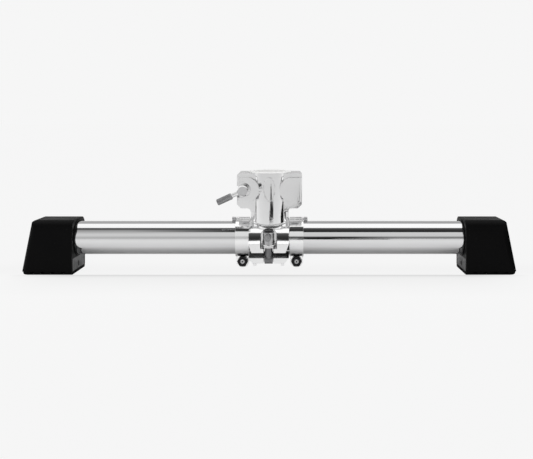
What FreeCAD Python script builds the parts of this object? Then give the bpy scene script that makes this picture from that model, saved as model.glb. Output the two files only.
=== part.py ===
import FreeCAD, Part
import math
import os

from FreeCAD import Vector

# A chrome tube stands on two rubber feet. A hinged pipe clamp slides along it and turns about it,
# between two keyed stop collars, and carries an upright socket for a post of the same tube.
# X runs along the tube, Y away from the clamp lever, Z up. Millimetres, degrees.

# ---- rail
TUBE_OD = 38.1  # 1.5 inch tube
TUBE_WALL = 2.0
AXIS_HEIGHT = 38.5  # tube axis above the floor
CLEAR_SPAN = 444.6  # between the inner faces of the feet
TUBE_INSERT = 42.0  # length of tube held in each foot

# ---- feet
FOOT_LENGTH = 58.2  # at the floor, along the tube
FOOT_DEPTH = 52.0
RUBBER_OVER_TUBE = 3.5
FOOT_SLANT = 11.2  # of the outer end face from upright
FOOT_SHOULDER_R = 12.0  # along the top, front and back
FOOT_END_R = 5.0  # top of the outer end
FOOT_CORNER_R = 8.0  # seen from above
SOLE_THICKNESS = 3.5
SOLE_INSET = 0.5
TREAD_PITCH = 11.6
TREAD_WIDTH = 4.0
TREAD_DEPTH = 1.2
TREAD_RIM = 3.0  # plain rim around the grooves
SOLE_ROUND = 2.0  # lower edge of the sole
CORE_LENGTH = 41.5
RUBBER_SIDE = 4.0  # rubber beside the core
RUBBER_WEB = 2.0  # rubber between the core and the tube
PLUG_LENGTH = 24.0
TUBE_SCREW_D = 6.0
TUBE_SCREW_HEAD_D = 10.0
TUBE_SCREW_HEAD = 2.6
TUBE_SCREW_X = 28.0  # from the foot's inner face
SOLE_SCREW_D = 3.0
SOLE_SCREW_HEAD_D = 6.5
SOLE_SCREW_Y = 15.0
LOCK_SCREW_D = 5.0
LOCK_SCREW_HEIGHT = 8.8
LOCK_SCREW_SUNK = 8.0  # its end below the core's face

# ---- clamp on the tube
LINER_WALL = 0.9
CLAMP_WIDTH = 45.2
CLAMP_ROOF = 1.3  # metal over the bore at the top
BACK_R = 19.2  # round back of the upper jaw
BACK_OVERHANG = 2.4  # behind the hinge axis
SLOPE_START = 2.0  # slope of the top begins, in front of the tube axis
BLEND_SLAB = 3.0  # metal under the slope that carries the column's blend
SHELF_DROP = 3.85  # front of the sloping top, below the top of the bore
SHELF_FRONT = 2.0  # in front of the column
BROW_R = 32.0  # rounded front of the upper jaw
BEVEL_DEPTH = 3.2
BEVEL_HEIGHT = 2.8
LIP_TOP = 0.95  # below the tube axis
LIP_BOTTOM = 11.0
LIP_OVERHANG = 4.9  # lip in front of the bolt axis
LIP_TAPER = 3.7  # each side, at the bottom of the lip
NICHE_WALL = 6.45  # metal between the tube bore and the round pocket of the clamp bolt
NICHE_R = 9.3
NICHE_FLOOR = 5.5
JAW_GAP = 5.2
JAW_FLANGE = 6.1
JAW_TAPER = 5.2
JAW_BACK = 3.0  # jaw behind its hinge axis
JAW_RIB_HEIGHT = 2.4
JAW_RIB_WIDTH = 3.4
JAW_HINGE_DROP = 5.0
JAW_HINGE_OUT = 6.45  # hinge axis outside the bore
JAW_KNUCKLE_R = 5.0
JAW_KNUCKLE_WIDTH = 19.0
JAW_PIN_D = 5.0
HINGE_GAP = 0.4

# ---- levers and swing bolts
CLAMP_BOLT_D = 8.0
CLAMP_EYE_R = 4.4
SOCKET_BOLT_D = 7.0
SOCKET_EYE_R = 4.5
EYE_WIDTH = 9.0
EYE_PIN_D = 4.0
EYE_PIN_DEPTH = 2.9  # below the top of the jaw's lip
SLOT_CLEARANCE = 1.6
WASHER_R = 7.0
WASHER_THICKNESS = 1.2
WASHER_GAP = 0.15
HUB_R = 6.2
HUB_HEIGHT = 15.4
CAP_R = 5.2
CAP_HEIGHT = 2.6
ARM_HEIGHT = 12.8  # lever arm above the foot of the hub
NECK_D = 4.6
LEVER_REACH = 31.2
SLEEVE_D = 7.2
SLEEVE_START = 13.4
FLUTES = 12
FLUTE_R = 0.65
SOCKET_LEVER_DROOP = 24.6  # of the socket lever below level

# ---- post socket
POST_OD = 38.1
POST_PLAY = 0.1
COLUMN_WALL = 1.9
SOCKET_FLOOR = 3.95  # metal between the socket and the tube bore
SOCKET_DEPTH = 52.0
COLUMN_FILLET = 1.6
HEAD_WIDTH = 74.0
HEAD_HEIGHT = 40.5
EAR_THICKNESS = 15.0
EAR_CHAMFER = 4.5
EAR_FILLET = 4.0
SPLIT_GAP = 1.2
BOSS_HEIGHT = 28.0
BOSS_TIP_X = 11.8  # inner end of the boss, from the middle of the head
BOSS_TIP = 11.0  # length of the rounded end
BOSS_ROUND = 2.2
BOSS_DEPTH = 18.7
GATE_DEPTH = 27.0
GATE_CLEARANCE = 0.4  # over the clamp body's shoulder
GATE_PAD_WIDTH = 40.0
GATE_PAD_ROUND = 3.0
LINER_FLANGE = 1.2
FLANGE_OVERHANG = 2.6  # beyond the column
SOCKET_BOLT_X = 29.2
SOCKET_BOLT_SETBACK = 9.0  # eye pin behind the split
SEAT_Y = 18.25
SEAT_HALF = 9.0  # half height of the rounded seat
EYE_PIN_HALF = 11.0
SOCKET_BOLT_RAISE = 1.2  # bolt and bosses above the middle of the head
GATE_PIN_X = 34.3
GATE_PIN_D = 3.0
GATE_KNUCKLE_R = 3.1
GATE_KNUCKLE_HEIGHT = 28.4
BADGE_HALF_WIDTH = 6.7
BADGE_HALF_HEIGHT = 13.9
BADGE_RISE = 0.7
BADGE_RAISE = 1.9  # above the middle of the head
BADGE_RIM = 1.0

# ---- stop collars
COLLAR_GAP = 0.4
COLLAR_WIDTH = 15.9
COLLAR_WALL = 2.7
COLLAR_BOLT_BELOW = 6.95  # bolt axis under the tube
COLLAR_BOLT_D = 5.0
COLLAR_LUG_R = 7.25
COLLAR_LUG_THICKNESS = 5.4
COLLAR_SPLIT = 1.0
COLLAR_NUT_AF = 11.0
COLLAR_NUT_HEIGHT = 5.0
COLLAR_PIN_D = 2.6
COLLAR_KNUCKLE_R = 2.3
COLLAR_PIN_HEAD_R = 2.3
COLLAR_PIN_HEAD = 4.2

# ---- fits
RUN = 0.05  # radial, running fits
SEAT = 0.1  # between pieces fixed together
HOLE = 0.2  # radial, around screws

# ---- worked out from the sizes above
TUBE_R = TUBE_OD / 2
LINER_IN = TUBE_R + RUN
LINER_OUT = LINER_IN + LINER_WALL
BORE_R = LINER_OUT + RUN
NICHE_BACK = BORE_R + NICHE_WALL
BOLT_OUT = NICHE_BACK + NICHE_R  # clamp bolt axis in front of the tube axis
LIP_FRONT = BOLT_OUT + LIP_OVERHANG
ROOF = BORE_R + CLAMP_ROOF
JAW_TOP = LIP_BOTTOM + JAW_GAP
JAW_BOTTOM = JAW_TOP + JAW_FLANGE
EYE_DROP = JAW_TOP + EYE_PIN_DEPTH
HINGE_Y = BORE_R + JAW_HINGE_OUT
BACK_Y = HINGE_Y + BACK_OVERHANG - BACK_R
BACK_Z = ROOF - BACK_R
COLLAR_R = TUBE_R + COLLAR_WALL
COLLAR_PIN_Z = TUBE_R + RUN + COLLAR_KNUCKLE_R + 0.2
COLLAR_BOLT_DROP = TUBE_R + COLLAR_BOLT_BELOW
SOCKET_IN = POST_OD / 2 + POST_PLAY
SOCKET_OUT = SOCKET_IN + LINER_WALL
COLUMN_BORE = SOCKET_OUT + RUN
COLUMN_R = COLUMN_BORE + COLUMN_WALL
COLLAR_IN = max(CLAMP_WIDTH / 2, COLUMN_R) + COLLAR_GAP
SOCKET_Z = BORE_R + SOCKET_FLOOR  # above the tube axis, like every height below
HEAD_TOP = SOCKET_Z + SOCKET_DEPTH
HEAD_BOTTOM = HEAD_TOP - HEAD_HEIGHT
HEAD_MIDDLE = (HEAD_TOP + HEAD_BOTTOM) / 2
SOCKET_BOLT_Z = HEAD_MIDDLE + SOCKET_BOLT_RAISE
FOOT_HEIGHT = AXIS_HEIGHT + TUBE_R + RUBBER_OVER_TUBE
INNER_X = CLEAR_SPAN / 2
TUBE_END = INNER_X + TUBE_INSERT
# The lever reaches further forwards than the hinge reaches back, so the tube axis is set back in the
# frame by half the difference.
AXIS_Y = (BOLT_OUT + LEVER_REACH - max(GATE_DEPTH, HINGE_Y + JAW_KNUCKLE_R)) / 2

os.makedirs("parts", exist_ok=True)


def rod(radius, start, end):
    """Round bar from one point to another."""
    axis = Vector(*end) - Vector(*start)
    return Part.makeCylinder(radius, axis.Length, Vector(*start), axis)


def ring(outer, inner, start, end):
    """Tube from one point to another."""
    return rod(outer, start, end).cut(rod(inner, start, end))


def block(x, y, z):
    """Box from three (low, high) pairs."""
    return Part.makeBox(x[1] - x[0], y[1] - y[0], z[1] - z[0], Vector(x[0], y[0], z[0]))


def outline(start, *steps):
    """Closed face through points; a step holding two points is an arc through the first of them."""
    here = Vector(*start)
    edges = []
    for step in steps + (start,):
        if isinstance(step[0], tuple):
            through, end = Vector(*step[0]), Vector(*step[1])
            edges.append(Part.Arc(here, through, end).toShape())
        else:
            end = Vector(*step)
            if (end - here).Length > 1e-6:
                edges.append(Part.LineSegment(here, end).toShape())
        here = end
    return Part.Face(Part.Wire(edges))


def side_view(points, half_width):
    """Solid drawn in Y and Z, running along X to both sides of the middle."""
    steps = [lift(p, lambda y, z: (-half_width, y, z)) for p in points]
    return outline(*steps).extrude(Vector(2 * half_width, 0, 0))


def front_view(points, near, far):
    """Solid drawn in X and Z, running in Y from near to far."""
    steps = [lift(p, lambda x, z: (x, near, z)) for p in points]
    return outline(*steps).extrude(Vector(0, far - near, 0))


def lift(step, place):
    """Puts a drawn point, or an arc's pair of points, in space."""
    if isinstance(step[0], tuple):
        return tuple(place(*p) for p in step)
    return place(*step)


def hexagon(across_flats, start, length):
    """Hexagonal bar along Y with corners to the left and right."""
    radius = across_flats / math.sqrt(3)
    x, y, z = start
    points = []
    for i in range(6):
        turn = math.radians(60 * i)
        points.append((x + radius * math.cos(turn), z + radius * math.sin(turn)))
    return front_view(points, y, y + length)


def mirror_x(shape):
    """The other hand of a piece, across the middle plane."""
    return shape.mirror(Vector(0, 0, 0), Vector(1, 0, 0))


def both_hands(shape):
    """A piece and its mirror image, as separate solids."""
    return Part.Compound([shape, mirror_x(shape)])


def save(name, shape, height=AXIS_HEIGHT):
    """Moves a piece from the tube axis to the frame and writes it. Feet are drawn from the floor."""
    placed = shape.copy()
    placed.translate(Vector(0, AXIS_Y, height))
    placed.exportStep("parts/" + name + ".step")


# ------------------------------------------------------------------ rail, drawn from the tube axis
# The tube is plain, with one screw hole underneath near each end.
tube = ring(TUBE_R, TUBE_R - TUBE_WALL, (-TUBE_END, 0, 0), (TUBE_END, 0, 0))
for side in (-1, 1):
    hole_x = side * (INNER_X + TUBE_SCREW_X)
    tube = tube.cut(rod(TUBE_SCREW_D / 2 + HOLE, (hole_x, 0, -TUBE_R - 1), (hole_x, 0, 0)))
save("rail_tube", tube)

# Each end plug is pressed into the tube and takes the foot's screw in a blind hole.
PLUG_R = TUBE_R - TUBE_WALL - RUN
SCREW_TIP = -TUBE_R + TUBE_WALL + 10.0
plug = rod(PLUG_R, (TUBE_END - PLUG_LENGTH, 0, 0), (TUBE_END, 0, 0))
screw_x = INNER_X + TUBE_SCREW_X
plug = plug.cut(rod(TUBE_SCREW_D / 2 + RUN, (screw_x, 0, -TUBE_R), (screw_x, 0, SCREW_TIP + 0.5)))
save("right_end_plug", plug)
save("left_end_plug", mirror_x(plug))


# ------------------------------------------------------------------ feet, drawn from the floor
def foot_plan(inset, top, bottom):
    """The foot's plan, rounded at the outer corners and sheared along the slanted end face."""
    outer = INNER_X + FOOT_LENGTH - inset
    half = FOOT_DEPTH / 2 - inset
    radius = FOOT_CORNER_R
    corner = radius * (1 - math.sqrt(0.5))
    inner = INNER_X - 30.0
    low = bottom
    face = outline(
        (inner, -half, low),
        (outer - radius, -half, low),
        ((outer - corner, -half + corner, low), (outer, -half + radius, low)),
        (outer, half - radius, low),
        ((outer - corner, half - corner, low), (outer - radius, half, low)),
        (inner, half, low),
    )
    rise = top - bottom
    return face.extrude(Vector(-rise * math.tan(math.radians(FOOT_SLANT)), 0, rise))


def arch(half, top, radius, low, x):
    """Upright slab with rounded shoulders, seen along X, between two X values."""
    corner = radius * (1 - math.sqrt(0.5))
    face = outline(
        (x[0], -half, low),
        (x[0], half, low),
        (x[0], half, top - radius),
        ((x[0], half - corner, top - corner), (x[0], half - radius, top)),
        (x[0], -half + radius, top),
        ((x[0], -half + corner, top - corner), (x[0], -half, top - radius)),
    )
    return face.extrude(Vector(x[1] - x[0], 0, 0))


CORE_TOP = AXIS_HEIGHT - TUBE_R - RUBBER_WEB
CORE_HALF = FOOT_DEPTH / 2 - RUBBER_SIDE
FOOT_OUTER = INNER_X + FOOT_LENGTH
core_x = (INNER_X, INNER_X + CORE_LENGTH)
sole_screw_places = [(INNER_X + CORE_LENGTH / 2 - 1.0, y) for y in (-SOLE_SCREW_Y, SOLE_SCREW_Y)]

# The rubber boot wraps the tube's end and leaves a pocket under it, open to the middle and the floor.
boot = foot_plan(0.0, FOOT_HEIGHT, SOLE_THICKNESS)
boot = boot.common(arch(FOOT_DEPTH / 2, FOOT_HEIGHT, FOOT_SHOULDER_R, SOLE_THICKNESS, (INNER_X, FOOT_OUTER)))
slant = math.radians(FOOT_SLANT)
end_top = FOOT_OUTER - (FOOT_HEIGHT - SOLE_THICKNESS) * math.tan(slant)
end_edge = Vector(end_top, 0, FOOT_HEIGHT)
slope = Vector(math.sin(slant), 0, -math.cos(slant))
tangent = FOOT_END_R * math.tan(math.pi / 4 - slant / 2)
arc_start = end_edge - Vector(tangent, 0, 0)
arc_end = end_edge + slope * tangent
arc_centre = arc_start - Vector(0, 0, FOOT_END_R)
outward = end_edge - arc_centre
arc_middle = arc_centre + outward * (FOOT_END_R / outward.Length)
shoulder = front_view(
    [
        (arc_start.x, arc_start.z),
        ((arc_middle.x, arc_middle.z), (arc_end.x, arc_end.z)),
        (arc_end.x + 40, arc_end.z),
        (arc_end.x + 40, arc_start.z + 10),
        (arc_start.x, arc_start.z + 10),
    ],
    -FOOT_DEPTH,
    FOOT_DEPTH,
)
boot = boot.cut(shoulder)
boot = boot.cut(rod(TUBE_R, (INNER_X - 1, 0, AXIS_HEIGHT), (TUBE_END + 0.3, 0, AXIS_HEIGHT)))
boot = boot.cut(
    block(
        (INNER_X - 1, core_x[1] + SEAT),
        (-CORE_HALF - SEAT, CORE_HALF + SEAT),
        (SOLE_THICKNESS - 1, CORE_TOP + SEAT),
    )
)
boot = boot.cut(
    rod(TUBE_SCREW_D / 2 + HOLE, (screw_x, 0, CORE_TOP - 1), (screw_x, 0, AXIS_HEIGHT))
)
save("right_foot_boot", boot, 0)
save("left_foot_boot", mirror_x(boot), 0)

# The moulded core fills the pocket, flush with the boot, and carries the load of the tube.
HEAD_Z = SOLE_THICKNESS + TUBE_SCREW_HEAD
core = block(core_x, (-CORE_HALF, CORE_HALF), (SOLE_THICKNESS, CORE_TOP))
core = core.cut(rod(TUBE_SCREW_D / 2 + HOLE, (screw_x, 0, 0), (screw_x, 0, CORE_TOP + 1)))
core = core.cut(rod(TUBE_SCREW_HEAD_D / 2 + HOLE, (screw_x, 0, 0), (screw_x, 0, HEAD_Z)))
lock_end = screw_x - TUBE_SCREW_D / 2 - SEAT
core = core.cut(
    rod(LOCK_SCREW_D / 2 + RUN, (INNER_X - 1, 0, LOCK_SCREW_HEIGHT), (screw_x, 0, LOCK_SCREW_HEIGHT))
)
core = core.cut(
    rod(
        LOCK_SCREW_D / 2 + 0.8,
        (INNER_X - 1, 0, LOCK_SCREW_HEIGHT),
        (INNER_X + LOCK_SCREW_SUNK - 1, 0, LOCK_SCREW_HEIGHT),
    )
)
for x, y in sole_screw_places:
    core = core.cut(rod(SOLE_SCREW_D / 2 + RUN, (x, y, 0), (x, y, CORE_TOP - 3.5)))
save("right_foot_core", core, 0)
save("left_foot_core", mirror_x(core), 0)

# The sole has tread grooves across it and short notches along its upper edge, front and back.
sole = foot_plan(SOLE_INSET, SOLE_THICKNESS, 0.0)
sole = sole.common(block((INNER_X, FOOT_OUTER), (-FOOT_DEPTH, FOOT_DEPTH), (0, SOLE_THICKNESS)))
rounded = [e for e in sole.Edges if e.BoundBox.ZMax < 0.01 and e.BoundBox.XMax > INNER_X + 0.01]
sole = sole.makeFillet(SOLE_ROUND, rounded)
for i in range(4):
    x = INNER_X + FOOT_LENGTH / 2 + (i - 1.5) * TREAD_PITCH - 1.5
    groove_x = (x - TREAD_WIDTH / 2, x + TREAD_WIDTH / 2)
    groove_y = FOOT_DEPTH / 2 - SOLE_INSET - TREAD_RIM
    sole = sole.cut(block(groove_x, (-groove_y, groove_y), (-1, TREAD_DEPTH)))
    for front in (-1, 1):
        edge = sorted((front * (FOOT_DEPTH / 2 - 2.5), front * FOOT_DEPTH))
        sole = sole.cut(block(groove_x, edge, (SOLE_THICKNESS - 1.4, SOLE_THICKNESS + 1)))
for x, y in sole_screw_places:
    sole = sole.cut(rod(SOLE_SCREW_HEAD_D / 2 + HOLE, (x, y, -1), (x, y, SOLE_THICKNESS - 1.0)))
    sole = sole.cut(rod(SOLE_SCREW_D / 2 + HOLE, (x, y, 0), (x, y, SOLE_THICKNESS + 1)))
save("right_foot_sole", sole, 0)
save("left_foot_sole", mirror_x(sole), 0)

# One screw under each foot goes up through core and tube wall into the end plug.
tip_z = AXIS_HEIGHT + SCREW_TIP
tube_screw = rod(TUBE_SCREW_HEAD_D / 2, (screw_x, 0, SOLE_THICKNESS + 0.3), (screw_x, 0, HEAD_Z))
tube_screw = tube_screw.fuse(rod(TUBE_SCREW_D / 2, (screw_x, 0, HEAD_Z - 1), (screw_x, 0, tip_z)))
save("foot_tube_screws", both_hands(tube_screw.removeSplitter()), 0)

sole_screws = []
for x, y in sole_screw_places:
    head = rod(SOLE_SCREW_HEAD_D / 2, (x, y, TREAD_DEPTH), (x, y, SOLE_THICKNESS - 1.0))
    shank = rod(SOLE_SCREW_D / 2, (x, y, TREAD_DEPTH + 0.5), (x, y, CORE_TOP - 4.0))
    screw = head.fuse(shank).removeSplitter()
    sole_screws.extend([screw, mirror_x(screw)])
save("foot_sole_screws", Part.Compound(sole_screws), 0)

# A set screw behind the hole in each core's inner face locks the tube screw.
lock_start = INNER_X + LOCK_SCREW_SUNK
lock = rod(LOCK_SCREW_D / 2, (lock_start, 0, LOCK_SCREW_HEIGHT), (lock_end, 0, LOCK_SCREW_HEIGHT))
lock = lock.cut(
    rod(LOCK_SCREW_D / 4, (lock_start - 1, 0, LOCK_SCREW_HEIGHT), (lock_start + 2.5, 0, LOCK_SCREW_HEIGHT))
)
save("foot_lock_screws", both_hands(lock), 0)


# ------------------------------------------------------------------ clamp body, from the tube axis
HALF = CLAMP_WIDTH / 2


def bulge(start, end, radius):
    """Middle of the arc that bulges forwards and upwards between two drawn points."""
    across, up = end[0] - start[0], end[1] - start[1]
    chord = math.hypot(across, up)
    rise = radius - math.sqrt(radius**2 - chord**2 / 4)
    middle = ((start[0] + end[0]) / 2, (start[1] + end[1]) / 2)
    return (middle[0] + rise * up / chord, middle[1] - rise * across / chord)


def tapered(half, top, bottom, taper, low_top):
    """Front view of a jaw that narrows from a height down to its lower edge."""
    return front_view(
        [
            (-half, low_top),
            (half, low_top),
            (half, top),
            (half - taper, bottom),
            (-half + taper, bottom),
            (-half, top),
        ],
        -80,
        80,
    )


slope_start = (-SLOPE_START, ROOF)
shelf = (-COLUMN_R - SHELF_FRONT, BORE_R - SHELF_DROP)
bevel = (-LIP_FRONT + BEVEL_DEPTH, -LIP_TOP + BEVEL_HEIGHT)
diagonal = BACK_R * math.sqrt(0.5)
body = side_view(
    [
        (BACK_Y, ROOF),
        slope_start,
        shelf,
        (bulge(shelf, bevel, BROW_R), bevel),
        (-LIP_FRONT, -LIP_TOP),
        (-LIP_FRONT, -LIP_BOTTOM),
        (-BORE_R, -LIP_BOTTOM),
        (-BORE_R, 0.0),
        (BORE_R, 0.0),
        (BORE_R, -JAW_HINGE_DROP - JAW_KNUCKLE_R),
        (HINGE_Y, -JAW_HINGE_DROP - JAW_KNUCKLE_R),
        (BACK_Y + BACK_R, BACK_Z),
        ((BACK_Y + diagonal, BACK_Z + diagonal), (BACK_Y, ROOF)),
    ],
    HALF,
)
hinge_z = -JAW_HINGE_DROP
body = body.fuse(rod(JAW_KNUCKLE_R, (-HALF, HINGE_Y, hinge_z), (HALF, HINGE_Y, hinge_z)))
body = body.common(tapered(HALF, -LIP_TOP, -LIP_BOTTOM, LIP_TAPER, HEAD_TOP))

# The column is a plain round, open from the top down to the socket's floor.
column = rod(COLUMN_R, (0, 0, 2), (0, 0, HEAD_TOP))
body = body.fuse(column).removeSplitter()
# The foot of the column is blended into the sloping top in front of it.
slab = side_view(
    [slope_start, shelf, (shelf[0], shelf[1] - BLEND_SLAB), (slope_start[0], ROOF - BLEND_SLAB)],
    3 * HALF,
)
blend = slab.fuse(rod(COLUMN_R, (0, 0, 5), (0, 0, ROOF + 10))).removeSplitter()
seam = [e for e in blend.Edges if isinstance(e.Curve, Part.Ellipse) and e.BoundBox.ZMin > shelf[1]]
blend = blend.makeFillet(COLUMN_FILLET, seam)
blend = blend.common(block((-HALF, HALF), (shelf[0], slope_start[0]), (0, ROOF + 10)))
body = body.fuse(blend).removeSplitter()


# The head's front half: two ears, a flat boss on each, and the hinge knuckles.
def ears(sign):
    """Ear plates to the front (-1) or back (1) of the split, blended into the column below."""
    out = HEAD_WIDTH / 2
    root = COLUMN_R - 0.6
    blend = root + EAR_FILLET
    bend = EAR_FILLET * (1 - math.sqrt(0.5))
    low = HEAD_BOTTOM
    corner = EAR_CHAMFER / 2
    half = [
        (root, low - EAR_FILLET),
        ((root + bend, low - bend), (blend, low)),
        (out - EAR_CHAMFER, low),
        (out, low + EAR_CHAMFER),
        (out, HEAD_TOP - corner),
        (out - corner, HEAD_TOP),
    ]
    depth = EAR_THICKNESS if sign < 0 else EAR_THICKNESS + 5.0
    near, far = sorted((sign * SPLIT_GAP / 2, sign * depth))
    right = front_view([(0, low - EAR_FILLET)] + half + [(0, HEAD_TOP)], near, far)
    if sign > 0:
        right = right.common(block((0, 100), (0, 100), (low, HEAD_TOP)))
    return right.fuse(mirror_x(right))


def boss(sign):
    """Flat bosses on the ears with rounded inner ends, to the front (-1) or back (1) of the split."""
    out = HEAD_WIDTH / 2
    low, high = SOCKET_BOLT_Z - BOSS_HEIGHT / 2, SOCKET_BOLT_Z + BOSS_HEIGHT / 2
    near, far = sorted((sign * SPLIT_GAP / 2, sign * BOSS_DEPTH))
    root = BOSS_TIP_X + BOSS_TIP
    right = front_view(
        [(root, low), ((BOSS_TIP_X, SOCKET_BOLT_Z), (root, high)), (out, high), (out, low)], near, far
    )
    x, y = out - BOSS_ROUND, sign * (BOSS_DEPTH - BOSS_ROUND)
    edge = block((x, out + 1), sorted((y, sign * (BOSS_DEPTH + 1))), (low - 1, high + 1))
    right = right.cut(edge.cut(rod(BOSS_ROUND, (x, y, low - 1), (x, y, high + 1))))
    return right.fuse(mirror_x(right))


def gate_pin_rod(radius, low, high):
    """Upright round about the gate's hinge axis."""
    return rod(radius, (GATE_PIN_X, 0, low), (GATE_PIN_X, 0, high))


def bolt_slot(half_width):
    """Slot that the socket bolt swings out of, open to the left."""
    z = SOCKET_BOLT_Z
    slot = block((-100, -SOCKET_BOLT_X), (-60, 60), (z - half_width, z + half_width))
    return slot.fuse(rod(half_width, (-SOCKET_BOLT_X, -60, z), (-SOCKET_BOLT_X, 60, z)))


front_of_split = block((-200, 200), (-200, -SPLIT_GAP / 2), (HEAD_BOTTOM, 300))
behind_split = block((-200, 200), (SPLIT_GAP / 2, 200), (HEAD_BOTTOM + GATE_CLEARANCE, 300))
in_the_split = block((-200, 200), (-SPLIT_GAP / 2, 200), (HEAD_BOTTOM, 300))
knuckle = (HEAD_MIDDLE - GATE_KNUCKLE_HEIGHT / 2, HEAD_MIDDLE + GATE_KNUCKLE_HEIGHT / 2)
socket_slot = bolt_slot(SOCKET_BOLT_D / 2 + SLOT_CLEARANCE / 2)

body = body.cut(in_the_split)
body = body.fuse(ears(-1)).fuse(boss(-1))
ends = gate_pin_rod(GATE_KNUCKLE_R, HEAD_BOTTOM + EAR_CHAMFER, HEAD_TOP - EAR_CHAMFER / 2)
body = body.fuse(ends)
body = body.cut(gate_pin_rod(GATE_KNUCKLE_R + HINGE_GAP, knuckle[0] - HINGE_GAP, knuckle[1] + HINGE_GAP))
body = body.cut(gate_pin_rod(GATE_PIN_D / 2 + RUN, HEAD_BOTTOM - 1, HEAD_TOP + 1))

# The badge is a plain raised oval with a sunk middle, on the column's front.
badge_z = HEAD_MIDDLE + BADGE_RAISE


def oval_prism(half_width, half_height, z):
    """Oval bar pointing forwards from the socket's axis."""
    edge = Part.Ellipse(Vector(0, 0, 0), half_height, half_width).toShape()
    edge.rotate(Vector(0, 0, 0), Vector(0, 0, 1), 90)
    edge.rotate(Vector(0, 0, 0), Vector(1, 0, 0), 90)
    edge.translate(Vector(0, 0, z))
    return Part.Face(Part.Wire([edge])).extrude(Vector(0, -60, 0))


proud = rod(COLUMN_R + BADGE_RISE, (0, 0, HEAD_BOTTOM), (0, 0, HEAD_TOP))
sunk = ring(COLUMN_R + 5, COLUMN_R + BADGE_RISE / 3, (0, 0, HEAD_BOTTOM), (0, 0, HEAD_TOP))
badge = proud.common(oval_prism(BADGE_HALF_WIDTH, BADGE_HALF_HEIGHT, badge_z))
recess = oval_prism(BADGE_HALF_WIDTH - BADGE_RIM, BADGE_HALF_HEIGHT - BADGE_RIM, badge_z)
badge = badge.cut(sunk.common(recess))
body = body.fuse(badge)

# Openings: tube bore, post bore, the round pocket and slot of the clamp bolt, hinge and bolt slots.
# The pocket's floor falls away in front about the eye pin, so the lever's washer can roll off it.
body = body.cut(rod(BORE_R, (-60, 0, 0), (60, 0, 0)))
body = body.cut(block((-60, 60), (-BORE_R, BORE_R), (-40, 0)))
body = body.cut(rod(COLUMN_BORE, (0, 0, SOCKET_Z), (0, 0, HEAD_TOP + 5)))
body = body.cut(rod(NICHE_R, (0, -BOLT_OUT, -NICHE_FLOOR), (0, -BOLT_OUT, SOCKET_Z)))
in_front = block((-NICHE_R, NICHE_R), (-LIP_FRONT - 10, -BOLT_OUT), (-LIP_BOTTOM, SOCKET_Z))
roll = rod(EYE_DROP - NICHE_FLOOR, (-HALF, -BOLT_OUT, -EYE_DROP), (HALF, -BOLT_OUT, -EYE_DROP))
body = body.cut(in_front.cut(roll))
slot_half = CLAMP_BOLT_D / 2 + SLOT_CLEARANCE
body = body.cut(block((-slot_half, slot_half), (-60, -BOLT_OUT), (-60, -NICHE_FLOOR + 1)))
body = body.cut(rod(slot_half, (0, -BOLT_OUT, -60), (0, -BOLT_OUT, -NICHE_FLOOR + 1)))
knuckle_half = JAW_KNUCKLE_WIDTH / 2 + HINGE_GAP
body = body.cut(
    rod(JAW_KNUCKLE_R + HINGE_GAP, (-knuckle_half, HINGE_Y, hinge_z), (knuckle_half, HINGE_Y, hinge_z))
)
body = body.cut(block((-knuckle_half, knuckle_half), (BORE_R - 1, 60), (-60, hinge_z)))
body = body.cut(rod(JAW_PIN_D / 2 + RUN, (-60, HINGE_Y, hinge_z), (60, HINGE_Y, hinge_z)))

# The left ear is rounded about the eye pin, so the lever's washer can roll off it, and flat inside.
body = body.cut(socket_slot)
seat_r = SEAT_Y + SOCKET_BOLT_SETBACK
eye_at = (-SOCKET_BOLT_X, SOCKET_BOLT_SETBACK)
outside = block((-80, -SOCKET_BOLT_X), (-80, 0), (SOCKET_BOLT_Z - SEAT_HALF, SOCKET_BOLT_Z + SEAT_HALF))
outside = outside.cut(rod(seat_r, (*eye_at, -10), (*eye_at, 200)))
spot = rod(WASHER_R + 0.8, (-SOCKET_BOLT_X, -60, SOCKET_BOLT_Z), (-SOCKET_BOLT_X, -SEAT_Y, SOCKET_BOLT_Z))
body = body.cut(outside).cut(spot)

body = body.removeSplitter()
save("clamp_body", body)

# ------------------------------------------------------------------ lower jaw, its pin and liner
jaw_shelf = JAW_HINGE_DROP + JAW_KNUCKLE_R + 0.8
jaw = side_view(
    [
        (-LIP_FRONT - 0.8, -JAW_TOP),
        (-BORE_R + 0.4, -JAW_TOP),
        (-BORE_R + 0.4, -LIP_BOTTOM - 0.5),
        (BORE_R - 2, -LIP_BOTTOM - 0.5),
        (BORE_R - 2, -jaw_shelf),
        (HINGE_Y + JAW_BACK, -jaw_shelf),
        (HINGE_Y + JAW_BACK, -JAW_TOP),
        ((HINGE_Y + JAW_BACK - 2.2, -JAW_BOTTOM + 2.2), (HINGE_Y - 5, -JAW_BOTTOM)),
        (-LIP_FRONT - 0.8, -JAW_BOTTOM),
    ],
    HALF,
)
jaw = jaw.common(tapered(HALF, -JAW_TOP, -JAW_BOTTOM, JAW_TAPER, 0.0))
knuckle_x = JAW_KNUCKLE_WIDTH / 2
jaw = jaw.fuse(rod(JAW_KNUCKLE_R, (-knuckle_x, HINGE_Y, hinge_z), (knuckle_x, HINGE_Y, hinge_z)))
jaw = jaw.fuse(
    block(
        (-knuckle_x, knuckle_x),
        (HINGE_Y - JAW_KNUCKLE_R + 0.6, HINGE_Y + JAW_BACK),
        (-jaw_shelf - 1, hinge_z),
    )
)
rib_out = HALF - JAW_TAPER - 0.2
for side in (-1, 1):
    rib_x = sorted((side * rib_out, side * (rib_out - JAW_RIB_WIDTH)))
    jaw = jaw.fuse(
        block(rib_x, (-LIP_FRONT - 0.4, BORE_R - 1), (-JAW_BOTTOM - JAW_RIB_HEIGHT, -JAW_BOTTOM + 1))
    )
jaw = jaw.cut(rod(BORE_R, (-60, 0, 0), (60, 0, 0)))
eye_back = -BOLT_OUT + CLAMP_EYE_R + 0.8
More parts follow.
